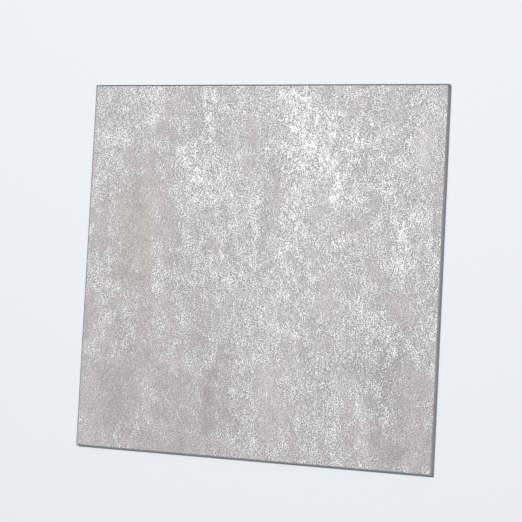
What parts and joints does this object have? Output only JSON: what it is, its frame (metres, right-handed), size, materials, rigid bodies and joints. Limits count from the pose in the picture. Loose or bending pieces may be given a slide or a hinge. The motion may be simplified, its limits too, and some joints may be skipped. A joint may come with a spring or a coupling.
{
  "type": "vinyl floor tile",
  "caption": "Square rigid vinyl floor tile with a printed concrete-look face and a painted micro-bevel round its edges.",
  "frame": {"origin": "middle of the underside, the face that lies on the subfloor", "axes": "+Z out of the printed face; +X and +Y along two edges of the square, with +X to the right and +Y up the pictured face"},
  "size_m": [0.3048, 0.3048, 0.0065],
  "materials": {
    "printed_vinyl": "matt pale grey concrete-look print under a lightly embossed clear wear layer; painted mid-grey bevel, grey core on the sides, darker grey textured underside"
  },
  "bodies": {
    "root": {"floor_tile": "printed_vinyl"}
  },
  "joints": []
}
